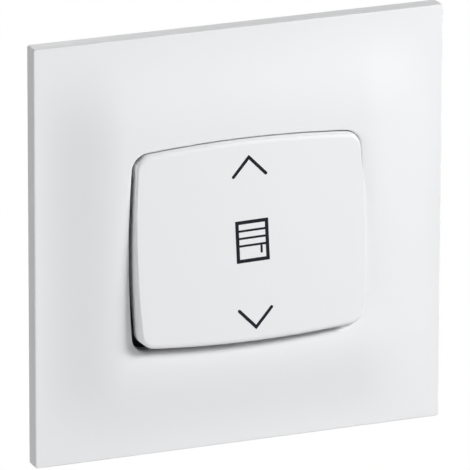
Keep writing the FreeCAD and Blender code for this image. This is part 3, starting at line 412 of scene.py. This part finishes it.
WHITE, WHITE_ROUGHNESS = (0.86, 0.865, 0.875), 0.5
HAZE_SIZE, HAZE_SWING, HAZE_DARK, HAZE_LIGHT = 9 * MM, 0.05, 0.992, 1.006
PEEL_SIZE, PEEL_SWING, PEEL_DEPTH = 1.1 * MM, 0.02, 0.0012 * MM
white_gloss = Finish("white_gloss_plastic", WHITE, WHITE_ROUGHNESS)
peel = white_gloss.noise(PEEL_SIZE)
haze = white_gloss.noise(HAZE_SIZE, detail=3.0)
white_gloss.tint(haze, shade(WHITE, HAZE_DARK), shade(WHITE, HAZE_LIGHT))
white_gloss.gloss(WHITE_ROUGHNESS, (haze, HAZE_SWING), (peel, PEEL_SWING))
white_gloss.relief(peel, PEEL_DEPTH)
plate = solid("plate_shell", [shell, *hooks], white_gloss, "base")
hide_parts("cover_plate")

# Rocker key: a white cap with the opening's outline, a flat face with a soft edge all
# round, a skirt and four clip legs that snap into the cradle. At rest its upper half is
# pressed in, so the whole moulding stands tilted about the trunnions.

PIVOT_Y = 1.0 * MM
FACE_Y, FACE_THICKNESS = RIM_Y - 1.9 * MM, 1.8 * MM
SKIRT_WALL, SKIRT_DEPTH = 1.4 * MM, 4.6 * MM
SIDE_GAP, END_GAP, OFF_CENTRE = 0.48 * MM, 0.85 * MM, 0.33 * MM
EDGE_DEPTH, SIDE_ROUND, END_ROUND, EDGE_STEPS = 1.0 * MM, 0.2 * MM, 1.25 * MM, 12
FACE_RING_SHARES = (1.5, 1.15)
RING_BELOW_EDGE, RING_ABOVE_END = 0.2 * MM, 0.1 * MM


def tilted(points):
    """Points turned about the trunnions' axis, from the level rocker to its rest pose."""
    y, z = points[:, 1] - PIVOT_Y, points[:, 2]
    c, s = math.cos(TILT), math.sin(TILT)
    return np.stack([points[:, 0], PIVOT_Y + y * c - z * s, y * s + z * c], 1)


def key_loop(y, inset_x=0.0, inset_z=0.0):
    """Ring of the key at depth y: the opening's outline less the gaps and the insets."""
    outline = loop(
        OPENING["half_x"] - SIDE_GAP - inset_x,
        OPENING["half_z"] - END_GAP - inset_z,
        OPENING["corner_r"] - SIDE_GAP - (inset_x + inset_z) / 2,
        OPENING["bow_x"],
        OPENING["bow_z"],
    )
    return at_depth(outline + (OFF_CENTRE, 0), y)


# Two rings lie inside the soft edge, at shares of its width, and keep the face flat.
wall_from, wall_to = FACE_Y + EDGE_DEPTH, FACE_Y + SKIRT_DEPTH
rings = [key_loop(FACE_Y, SIDE_ROUND * share, END_ROUND * share) for share in FACE_RING_SHARES]
for inset, depth in quarter_round(1.0, EDGE_STEPS):
    rings.append(key_loop(FACE_Y + depth * EDGE_DEPTH, inset * SIDE_ROUND, inset * END_ROUND))
wall_depths = (wall_from + RING_BELOW_EDGE, wall_to - RING_ABOVE_END, wall_to)
rings += [key_loop(y) for y in wall_depths]
rings += [key_loop(y, SKIRT_WALL, SKIRT_WALL) for y in (wall_to, FACE_Y + FACE_THICKNESS)]
cap = skin(rings, False)

CLIP_X, CLIP_Z, CLIP_WIDTH, CLIP_LEG, CLIP_NOSE = 8.4 * MM, 7.6 * MM, 4 * MM, 1.2 * MM, 0.6 * MM
CLIP_HOOK_Y = 0.25 * MM
clip_root, clip_tip = FACE_Y + FACE_THICKNESS / 2, CLIP_HOOK_Y + CLIP_NOSE
inner_z, outer_z = CLIP_Z - CLIP_LEG / 2, CLIP_Z + CLIP_LEG / 2
clip = [
    (clip_root, inner_z),
    (clip_tip, inner_z),
    (clip_tip, outer_z),
    (CLIP_HOOK_Y, outer_z + CLIP_NOSE),
    (CLIP_HOOK_Y, outer_z),
    (clip_root, outer_z),
]
clips = [
    prism([(y, z * up) for y, z in clip], x - CLIP_WIDTH / 2, x + CLIP_WIDTH / 2)
    for x in (OFF_CENTRE - CLIP_X, OFF_CENTRE + CLIP_X) for up in (-1, 1)
]
key_parts = [(tilted(v), f) for v, f in [cap, *clips]]
key = solid("rocker_cap", key_parts, white_gloss, "rocker")
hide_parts("rocker_key")

# Printed signs: pad-printed in dark slate ink on the rocker's face, a film a few
# hundredths of a millimetre thick. A chevron stands above and below, and between them a
# shutter with three slats and its pull cord. The print stands a little askew on the key.

INK_OVER, INK_UNDER = 0.02 * MM, 0.02 * MM
PRINT_X, PRINT_TURN = 0.4 * MM, math.radians(1.15)
STROKE, FRAME_STROKE, FINE_STROKE = 0.62 * MM, 0.68 * MM, 0.42 * MM


def half_turn(centre, start, onward, steps=8):
    """Points between the ends of a half circle that leaves along start and bulges onward."""
    t = np.linspace(0, math.pi, steps + 1)[1:-1, None]
    return centre + np.cos(t) * start + np.sin(t) * onward


def stroke(points, width):
    """Closed (x, z) outline of a line of even width with round ends.

    Each side is the line shifted across by half the width, mitred at its bends, and the
    ends are half circles.
    """
    line, half = np.array(points, float), width / 2
    step = np.diff(line, axis=0)
    step *= half / np.linalg.norm(step, axis=1)[:, None]
    across = np.stack([-step[:, 1], step[:, 0]], 1)
    joint = np.concatenate([across[:1], across[:-1] + across[1:], across[-1:]])
    joint *= (half**2 / np.sum(joint * np.concatenate([across, across[-1:]]), 1))[:, None]
    left, right = line + joint, line - joint
    end_cap = half_turn(line[-1], across[-1], step[-1])
    start_cap = half_turn(line[0], -across[0], -step[0])
    return np.concatenate([left, end_cap, right[::-1], start_cap])


def rectangle(half_x, half_z):
    """Corners of a rectangle round the origin, from its half sizes."""
    return np.array([(half_x, -half_z), (half_x, half_z), (-half_x, half_z), (-half_x, -half_z)])


def printed(outline, z=0.0):
    """(x, z) rows raised by z, turned with the print and moved to its place on the face."""
    x, height = outline[:, 0], outline[:, 1] + z
    c, s = math.cos(PRINT_TURN), math.sin(PRINT_TURN)
    return np.stack([PRINT_X + x * c - height * s, x * s + height * c], 1)


def film(outline, z):
    """Ink over an outline, from just proud of the rocker's face to just inside it."""
    shape = printed(outline, z)
    return skin([at_depth(shape, y) for y in (FACE_Y - INK_OVER, FACE_Y + INK_UNDER)], False)


def frame_film(outer, inner, z):
    """Ink between two outlines of equal count, over the same depths."""
    outer, inner = printed(outer, z), printed(inner, z)
    front, back = FACE_Y - INK_OVER, FACE_Y + INK_UNDER
    rings = ((outer, front), (outer, back), (inner, back), (inner, front))
    return skin([at_depth(shape, y) for shape, y in rings], True)


INK, INK_ROUGHNESS = (0.011, 0.013, 0.019), 0.495
SPECKLE_SIZE, SPECKLE_SWING, SPECKLE_DARK, SPECKLE_LIGHT = 0.12 * MM, 0.15, 0.8, 1.3
ink = Finish("slate_print_ink", INK, INK_ROUGHNESS, Specular_IOR_Level=0.2)
speckle = ink.noise(SPECKLE_SIZE)
ink.tint(speckle, shade(INK, SPECKLE_DARK), shade(INK, SPECKLE_LIGHT))
ink.gloss(INK_ROUGHNESS, (speckle, SPECKLE_SWING))


def sign(name, films):
    """One printed sign, tilted with the key it lies on."""
    return solid(name, [(tilted(v), f) for v, f in films], ink, "rocker")


CHEVRON_HALF, CHEVRON_RISE = 3.25 * MM, 3.48 * MM
UP_Z, DOWN_Z = 14.42 * MM, -14.95 * MM
for name, way, z in (("up_sign", 1, UP_Z), ("down_sign", -1, DOWN_Z)):
    tip = way * CHEVRON_RISE / 2
    line = [(-CHEVRON_HALF, -tip), (0, tip), (CHEVRON_HALF, -tip)]
    sign(name, [film(stroke(line, STROKE), z)])

SHUTTER_Z, SHUTTER_HALF_X, SHUTTER_HALF_Z = 0.05 * MM, 3.32 * MM, 4.05 * MM
SLAT_HALF, SLATS = 2.57 * MM, (2.08 * MM, 0.65 * MM, -0.8 * MM)
PULL_X, PULL_LENGTH = 1.76 * MM, 1.55 * MM
border = frame_film(
    rectangle(SHUTTER_HALF_X, SHUTTER_HALF_Z),
    rectangle(SHUTTER_HALF_X - FRAME_STROKE, SHUTTER_HALF_Z - FRAME_STROKE),
    SHUTTER_Z,
)
slats = [film(stroke([(-SLAT_HALF, z), (SLAT_HALF, z)], FINE_STROKE), SHUTTER_Z) for z in SLATS]
pull = stroke([(PULL_X, SLATS[-1]), (PULL_X, SLATS[-1] - PULL_LENGTH)], FINE_STROKE)
sign("shutter_sign", [border, *slats, film(pull, SHUTTER_Z)])

# Studio: a camera at the photograph's angle, soft boxes all round, of which those on the
# right are the strongest, and a white floor and backdrop that only the camera sees. They
# stand far enough away to leave every view of the object clear.

AZIMUTH, ELEVATION, ROLL = math.radians(-21.82), math.radians(18.37), math.radians(0.184)
DISTANCE, LENS, SIGHT = 1.4117, 577.0, 20
AIM_RIGHT, AIM_UP = -0.9 * MM, 0.258 * MM
FLOOR_Z, ROOM_RADIUS = -2.4, 3.2
BOX_DISTANCE, SMALL, WIDE = 0.7, 0.13, 0.4
WORLD_STRENGTH = 0.01


def outward(azimuth, elevation):
    """Unit vector from the object towards a compass direction, with 0, 0 straight in front."""
    level = math.cos(elevation)
    return Vector((math.sin(azimuth) * level, -math.cos(azimuth) * level, math.sin(elevation)))


def placed(name, data):
    """A new object of the given data, linked to the scene."""
    made = bpy.data.objects.new(name, data)
    bpy.context.scene.collection.objects.link(made)
    return made


def soft_box(name, azimuth, elevation, size, power):
    """Square area light aimed at the object: angles in degrees, size in metres, power in watts."""
    lamp = bpy.data.lights.new(name, "AREA")
    lamp.shape, lamp.size, lamp.energy = "SQUARE", size, power
    made = placed(name, lamp)
    direction = outward(math.radians(azimuth), math.radians(elevation))
    made.location = direction * BOX_DISTANCE
    made.rotation_mode = "QUATERNION"
    made.rotation_quaternion = direction.to_track_quat("Z", "Y")


back = outward(AZIMUTH, ELEVATION)
level_right = Vector((math.cos(AZIMUTH), math.sin(AZIMUTH), 0))
level_up = back.cross(level_right)
right = level_right * math.cos(ROLL) + level_up * math.sin(ROLL)
up = level_up * math.cos(ROLL) - level_right * math.sin(ROLL)
lens = bpy.data.cameras.new("camera")
lens.lens, lens.clip_end = LENS, SIGHT
camera = placed("camera", lens)
stand = Vector((0, EDGE_Y, 0)) + right * AIM_RIGHT + up * AIM_UP + back * DISTANCE
camera.matrix_world = Matrix.Translation(stand) @ Matrix((right, up, back)).transposed().to_4x4()
bpy.context.scene.camera = camera

# Each row is a name, azimuth, elevation, size and power.
for row in (
    ("main_box", 37, 31, SMALL, 3.1),
    ("side_box", 50, 26, SMALL, 1.45),
    ("left_fill", -75, 0, WIDE, 1.2),
    ("low_left_fill", -60, -30, WIDE, 1.5),
    ("low_fill", 15, -35, WIDE, 0.4),
    ("low_right_fill", 45, -35, WIDE, 0.7),
    ("under_fill", 0, -80, WIDE, 0.6),
    ("rear_box", 180, 15, WIDE, 3.0),
    ("rear_right_box", 120, 15, WIDE, 1.6),
    ("rear_left_box", -150, 20, WIDE, 0.5),
):
    soft_box(*row)
world = bpy.data.worlds.new("studio")
world.use_nodes = True
glow = world.node_tree.nodes["Background"].inputs
glow["Color"].default_value = (1, 1, 1, 1)
glow["Strength"].default_value = WORLD_STRENGTH
bpy.context.scene.world = world
bpy.context.scene.view_settings.view_transform = "Standard"

backdrop_white = Finish(
    "backdrop_white",
    (0, 0, 0),
    roughness=1.0,
    Emission_Color=(1, 1, 1, 1),
    Emission_Strength=1.0,
)
for name in ("backdrop", "floor"):
    mesh = bpy.data.meshes.new(name)
    bm = bmesh.new()
    if name == "backdrop":
        bmesh.ops.create_icosphere(bm, subdivisions=4, radius=ROOM_RADIUS)
    else:
        spread = math.sqrt(ROOM_RADIUS**2 - FLOOR_Z**2)
        bmesh.ops.create_circle(bm, cap_ends=True, segments=64, radius=spread)
        bmesh.ops.translate(bm, verts=bm.verts, vec=(0, 0, FLOOR_Z))
    bm.to_mesh(mesh)
    bm.free()
    mesh.materials.append(backdrop_white.material)
    screen = placed(name, mesh)
    screen.visible_diffuse = screen.visible_glossy = screen.visible_shadow = False
